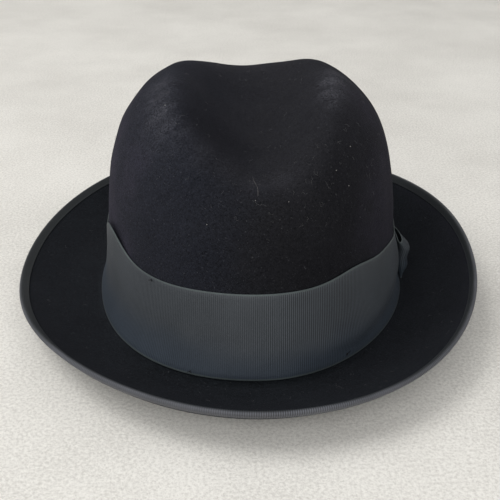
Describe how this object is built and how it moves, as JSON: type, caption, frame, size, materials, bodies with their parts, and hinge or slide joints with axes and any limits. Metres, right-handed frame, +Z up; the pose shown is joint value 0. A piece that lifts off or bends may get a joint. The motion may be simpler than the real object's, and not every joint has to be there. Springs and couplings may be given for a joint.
{
  "type": "homburg hat",
  "caption": "Black fur felt homburg hat with a dented tall crown, a brim curled up all round and bound at its edge, a wide ribbed ribbon band and a flat side bow.",
  "frame": {"origin": "on the surface the hat rests on, in the middle of the brim's length and width", "axes": "+Z up through the crown, -Y towards the front of the hat, +X towards the wearer's left, where the bow is"},
  "size_m": [0.2652, 0.3188, 0.1295],
  "materials": {
    "felt": "matte brushed fur felt, near black",
    "band_ribbon": "ribbed ribbon with a faint sheen, charcoal",
    "binding_ribbon": "narrow ribbed ribbon, charcoal"
  },
  "bodies": {
    "root": {"felt_body": "felt", "brim_binding": "binding_ribbon", "hat_band": "band_ribbon", "bow_front_loop": "band_ribbon", "bow_back_loop": "band_ribbon", "bow_knot": "band_ribbon"}
  },
  "joints": []
}
